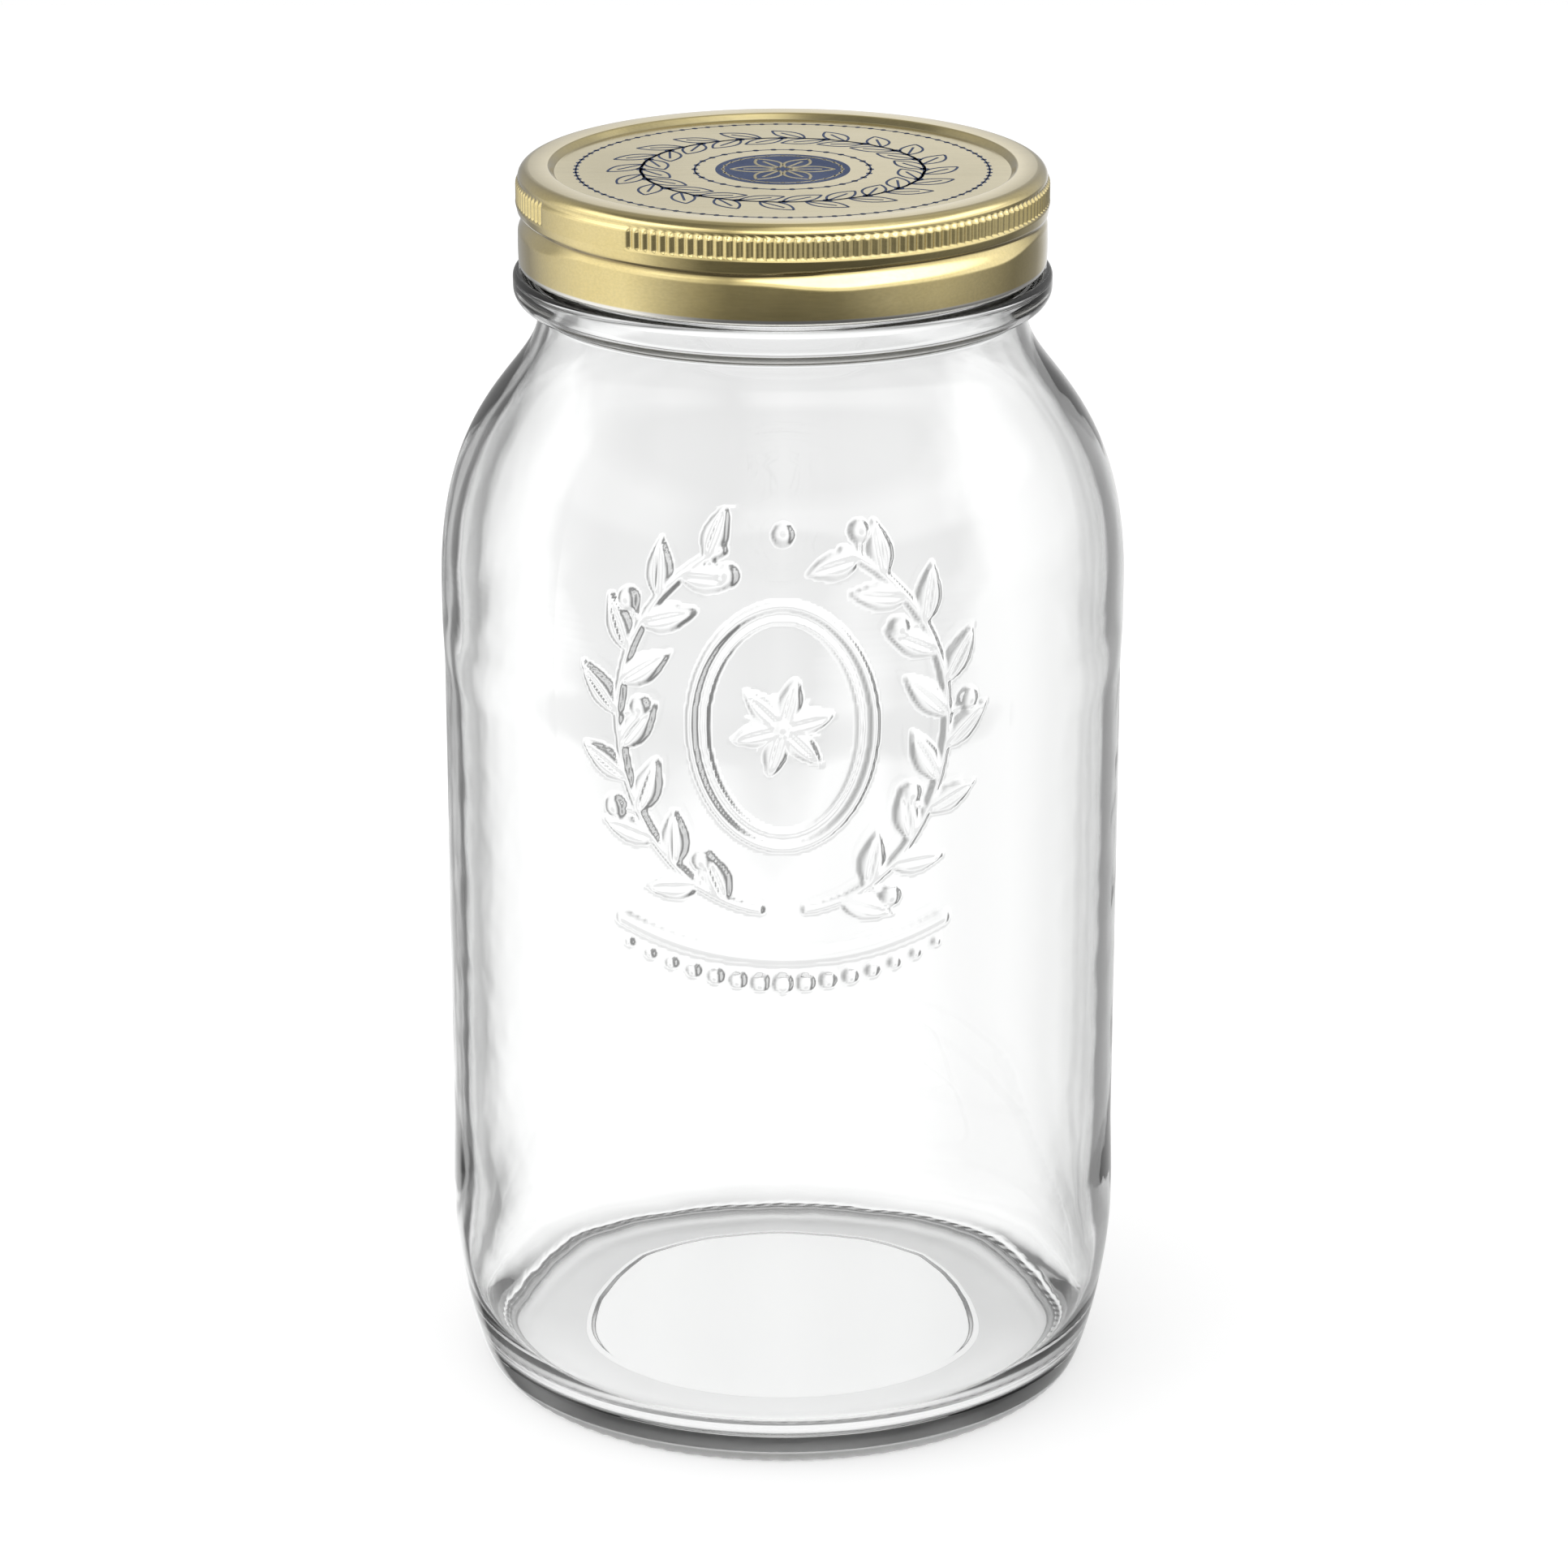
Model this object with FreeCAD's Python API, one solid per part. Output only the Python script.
import FreeCAD, Part
import math
import os

# Storage jar: a blown glass jar and a pressed metal screw lid lined with a ring of sealing compound.
# Millimetres, +Z up, the origin at the middle of the foot. Every part is round about the Z axis, so each
# one is a section drawn at y = 0 and turned about Z.

# Whole jar
HEIGHT = 212.5           # bench to the crown of the lid
BODY_D = 115.8           # straight side of the jar, outside
LID_D = 88.0             # skirt of the lid, outside

# Lid: one disc of tinplate, pressed and rolled
LID_H = 16.7             # crown to the curled edge
SHEET = 0.35             # thickness of the tinplate
CROWN_ROLL = 1.9         # radius where the crown turns down into the skirt
CHANNEL_W = 6.0          # from the skirt in to the edge of the sunk panel
PANEL_DROP = 1.0         # panel below the crown
STEP_RUN = 1.0           # length over which the panel steps up to the crown
GRIP_H = 3.7             # height of the ribbed grip band
GRIP_DROP = 2.0          # crown to the top of the grip band
BEAD_H = 3.3             # smooth bead under the grip band
BEAD_PROUD = 0.4         # bead outside the skirt
VALLEY_IN = 0.35         # hollow under the bead, inside the skirt
VALLEY_H = 1.6           # hollow to the full width of the skirt
CURL_R = 0.75            # curled edge, to the middle of the sheet

# Sealing compound in the channel of the lid
SEAL_T = 1.0             # between the lid and the rim of the jar
SEAL_EDGE = 0.3          # rounding of its lower corners

# Mouth of the jar
THREAD_ROOM = 2.05       # lid sheet to the plain wall of the mouth
BORE_CLEAR = 0.3         # bore outside the panel of the lid
RIM_EDGE = 1.0           # rounding of the rim
RING_GAP = 0.6           # lid above the ring
RING_PROUD = 1.0         # ring outside the lid
RING_H = 5.6             # height of the ring
RING_TOP_EDGE = 1.2      # rounding of the upper edge of the ring
RING_LOW_EDGE = 3.0      # rounding of its lower edge
NECK_WALL = 2.55         # glass at the narrowest place
NECK_FILLET = 1.5        # hollow between the neck and the ring

# Body of the jar
SHOULDER_H = 46.9        # neck to the straight side
SHOULDER_PULL = 33.1     # how long the shoulder keeps to the straight side
NECK_PULL = 11.6         # how long the shoulder keeps to the neck
LABEL_DROP = 0.3         # side drawn in between two bands, where a label goes
LABEL_BLEND = 4.0        # height over which it is drawn in
WALL = 2.9               # side behind the label
HEEL_H = 28.8            # foot to the straight side
HEEL_PULL = 11.2         # how long the heel keeps to the straight side
HEEL_TOE = 1.8           # how long the heel keeps to the bench
FOOT_IN = 6.1            # foot inside the straight side
FOOT_LAND = 1.8          # flat ring that the jar stands on
PUSH_UP = 2.6            # middle of the base above the bench
PUSH_RISE = 2.2          # width of the slope beside the foot
PUSH_EDGE = 1.6          # top of that slope above the bench
PLATE_IN = 18.3          # raised plate in the base, inside the foot
PLATE_STEP = 0.6         # height of its step
BASE_T = 3.4             # glass in the middle of the base
FLOOR_CROWN = 1.5        # middle of the floor above its edge
FLOOR_IN = 7.8           # edge of the floor inside the foot
FLOOR_PULL = 7.5         # how long the inner heel keeps to the floor
INNER_PULL = 18.8        # how long the inner heel keeps to the side


def ahead(a, b):
    """The unit vector from a to b, and their distance."""
    run, rise = b[0] - a[0], b[1] - a[1]
    length = math.hypot(run, rise)
    return (run / length, rise / length), length


def point(p):
    return FreeCAD.Vector(p[0], 0, p[1])


def line(a, b):
    """A straight edge, or nothing where the two ends meet."""
    if math.dist(a, b) < 1e-6:
        return []
    return [Part.LineSegment(point(a), point(b)).toShape()]


def turn(before, corner, after):
    """The angle that a path turns at a corner, positive to the left."""
    (ux, uz), _ = ahead(before, corner)
    (vx, vz), _ = ahead(corner, after)
    return math.atan2(ux * vz - uz * vx, ux * vx + uz * vz)


def arc_at(before, corner, after, radius):
    """Both ends and the middle of the arc that rounds a corner."""
    angle = turn(before, corner, after)
    (ux, uz), _ = ahead(before, corner)
    (vx, vz), _ = ahead(corner, after)
    back = radius * math.tan(abs(angle) / 2)
    start = (corner[0] - ux * back, corner[1] - uz * back)
    end = (corner[0] + vx * back, corner[1] + vz * back)
    toward, _ = ahead(corner, ((start[0] + end[0]) / 2, (start[1] + end[1]) / 2))
    reach = radius / math.cos(angle / 2) - radius
    return start, (corner[0] + toward[0] * reach, corner[1] + toward[1] * reach), end


def path(points, radii):
    """Edges along a run of corners, each corner but the first and last rounded by its own radius."""
    edges, at = [], points[0]
    for i in range(1, len(points) - 1):
        if radii[i] <= 0:
            edges += line(at, points[i])
            at = points[i]
            continue
        start, middle, end = arc_at(points[i - 1], points[i], points[i + 1], radii[i])
        edges += line(at, start)
        edges.append(Part.Arc(point(start), point(middle), point(end)).toShape())
        at = end
    return edges + line(at, points[-1])


def beside(points, gap):
    """The same run of corners, moved to its left by gap."""
    moved = []
    for i, (x, z) in enumerate(points):
        if i == 0 or i == len(points) - 1:
            a, b = (points[0], points[1]) if i == 0 else (points[-2], points[-1])
            (ux, uz), _ = ahead(a, b)
            moved.append((x - uz * gap, z + ux * gap))
            continue
        (ux, uz), _ = ahead(points[i - 1], points[i])
        (vx, vz), _ = ahead(points[i], points[i + 1])
        mx, mz = -(uz + vz), ux + vx
        share = gap / (mx * -uz + mz * ux)
        moved.append((x + mx * share, z + mz * share))
    return moved


def strip(points, radii, thick):
    """The section of a pressed sheet: points and radii give its middle line."""
    sides = []
    for side in (thick / 2, -thick / 2):
        fitted = [0.0] * len(points)
        for i in range(1, len(points) - 1):
            sign = math.copysign(1, turn(points[i - 1], points[i], points[i + 1]))
            fitted[i] = radii[i] - sign * side
        sides.append(path(beside(points, side), fitted))
    left, right = sides
    ends = [[e[0].Vertexes[0].Point, e[-1].Vertexes[-1].Point] for e in (left, right)]
    caps = [Part.LineSegment(ends[0][k], ends[1][k]).toShape() for k in (0, 1)]
    return left + right + caps


def curve(poles):
    """A smooth edge that leaves and arrives along its first and last legs."""
    bezier = Part.BezierCurve()
    bezier.setPoles([point(p) for p in poles])
    return [bezier.toShape()]


def turned(edges):
    """The solid that a closed section sweeps round the Z axis."""
    wire = Part.Wire(Part.__sortEdges__(edges))
    face = Part.Face(wire)
    solid = face.revolve(FreeCAD.Vector(0, 0, 0), FreeCAD.Vector(0, 0, 1), 360)
    solid = solid if solid.ShapeType == "Solid" else solid.Solids[0]
    if solid.Volume < 0:
        solid.reverse()
    return solid


# Sizes that follow from the ones above
LID_R = LID_D / 2
BODY_R = BODY_D / 2
SKIRT_R = LID_R - SHEET / 2                    # middle of the sheet in the skirt
PANEL_R = LID_R - CHANNEL_W
LID_Z = HEIGHT - LID_H                         # curled edge of the lid
RIM_Z = HEIGHT - SHEET - SEAL_T
BORE_R = PANEL_R + BORE_CLEAR
MOUTH_R = LID_R - SHEET - THREAD_ROOM
RING_R = LID_R + RING_PROUD
RING_Z = LID_Z - RING_GAP                      # top of the ring
NECK_R = BORE_R + NECK_WALL
NECK_Z = RING_Z - RING_H - NECK_FILLET
SHOULDER_Z = NECK_Z - SHOULDER_H
FOOT_R = BODY_R - FOOT_IN
PLATE_R = FOOT_R - PLATE_IN
LABEL_R = BODY_R - LABEL_DROP
INNER_R = LABEL_R - WALL
BASE_Z = PUSH_UP + BASE_T                      # middle of the floor inside
FLOOR_R = FOOT_R - FLOOR_IN
FLOOR_Z = BASE_Z - FLOOR_CROWN                 # edge of the floor


def make_lid():
    """One strip of sheet: panel, step, crown, grip band, bead, hollow, skirt and curled edge."""
    panel_z = HEIGHT - PANEL_DROP - SHEET / 2
    crown_z = HEIGHT - SHEET / 2
    grip_z = HEIGHT - GRIP_DROP - GRIP_H
    valley_z = grip_z - BEAD_H
    bead_r = SKIRT_R + BEAD_PROUD
    curl_z = LID_Z + SHEET / 2
    in_r = SKIRT_R - 2 * CURL_R
    corners = [
        ((0, panel_z), 0),
        ((PANEL_R, panel_z), 0.8),
        ((PANEL_R + STEP_RUN, crown_z), 0.8),
        ((SKIRT_R, crown_z), CROWN_ROLL - SHEET / 2),
        ((SKIRT_R, grip_z), 0.4),
        ((bead_r, grip_z - BEAD_PROUD), 0.6),
        ((bead_r, valley_z + 2 * BEAD_PROUD), 0.6),
        ((SKIRT_R - VALLEY_IN, valley_z), 0.6),
        ((SKIRT_R, valley_z - VALLEY_H), 3.0),
        ((SKIRT_R, curl_z), CURL_R),
        ((in_r, curl_z), CURL_R),
        ((in_r, curl_z + 2 * CURL_R), CURL_R),
        ((in_r + 1.4 * CURL_R, curl_z + 2 * CURL_R), 0),
    ]
    return turned(strip([c[0] for c in corners], [c[1] for c in corners], SHEET))


def make_seal():
    """A flat ring in the channel of the lid, which the rim of the jar presses."""
    inner = PANEL_R + STEP_RUN + 0.4
    outer = LID_R - CROWN_ROLL
    top = RIM_Z + SEAL_T
    corners = [(inner, top), (inner, RIM_Z), (outer, RIM_Z), (outer, top), (inner, top)]
    return turned(path(corners, [0, SEAL_EDGE, SEAL_EDGE, 0, 0]))


def jar_outside():
    """From the middle of the base, out under the foot and up to the rim."""
    land_r = FOOT_R - FOOT_LAND
    under = path(
        [(0, PUSH_UP), (PLATE_R - PLATE_STEP, PUSH_UP), (PLATE_R, PUSH_UP - PLATE_STEP),
         (land_r - PUSH_RISE, PUSH_EDGE), (land_r, 0), (FOOT_R, 0)],
        [0, 0.8, 0.8, 2.0, 0.8, 0],
    )
    heel = curve([(FOOT_R, 0), (FOOT_R + HEEL_TOE, 0), (BODY_R, HEEL_H - HEEL_PULL), (BODY_R, HEEL_H)])
    side = path(
        [(BODY_R, HEEL_H), (BODY_R, HEEL_H + LABEL_BLEND / 2), (LABEL_R, HEEL_H + 3 * LABEL_BLEND / 2),
         (LABEL_R, SHOULDER_Z - 3 * LABEL_BLEND / 2), (BODY_R, SHOULDER_Z - LABEL_BLEND / 2),
         (BODY_R, SHOULDER_Z)],
        [0, 20, 20, 20, 20, 0],
    )
    shoulder = curve([
        (BODY_R, SHOULDER_Z), (BODY_R, SHOULDER_Z + SHOULDER_PULL),
        (NECK_R, NECK_Z - NECK_PULL), (NECK_R, NECK_Z),
    ])
    low = RING_Z - RING_H
    mouth = path(
        [(NECK_R, NECK_Z), (NECK_R, low), (RING_R, low), (RING_R, RING_Z),
         (MOUTH_R, RING_Z), (MOUTH_R, RIM_Z), (BORE_R + RIM_EDGE, RIM_Z)],
        [0, NECK_FILLET, RING_LOW_EDGE, RING_TOP_EDGE, 0.6, RIM_EDGE, 0],
    )
    return under + heel + side + shoulder + mouth


def jar_inside():
    """From the rim down the bore and the side to the middle of the floor."""
    bore = path(
        [(BORE_R + RIM_EDGE, RIM_Z), (BORE_R, RIM_Z), (BORE_R, NECK_Z)],
        [0, RIM_EDGE, 0],
    )
    shoulder = curve([
        (BORE_R, NECK_Z), (BORE_R, NECK_Z - NECK_PULL),
        (INNER_R, SHOULDER_Z + SHOULDER_PULL - WALL), (INNER_R, SHOULDER_Z),
    ])
    side = line((INNER_R, SHOULDER_Z), (INNER_R, HEEL_H))
    heel = curve([
        (INNER_R, HEEL_H), (INNER_R, HEEL_H - INNER_PULL),
        (FLOOR_R + FLOOR_PULL, FLOOR_Z), (FLOOR_R, FLOOR_Z),
    ])
    floor = curve([(FLOOR_R, FLOOR_Z), (FLOOR_R * 0.6, FLOOR_Z), (FLOOR_R * 0.5, BASE_Z), (0, BASE_Z)])
    return bore + shoulder + side + heel + floor


def make_jar():
    """The glass between the outside and the inside."""
    return turned(jar_outside() + jar_inside() + line((0, BASE_Z), (0, PUSH_UP)))


os.makedirs("parts", exist_ok=True)
for name, make in (("jar", make_jar), ("lid", make_lid), ("seal", make_seal)):
    solid = make()
    solid.exportStep(f"parts/{name}.step")
    facets = len(solid.tessellate(0.1)[1])
    box = solid.BoundBox
    print(f"{name}: valid {solid.isValid()}, {solid.Volume / 1000:.1f} cm3, {facets} facets, "
          f"z {box.ZMin:.2f} to {box.ZMax:.2f}, width {box.XLength:.2f}")
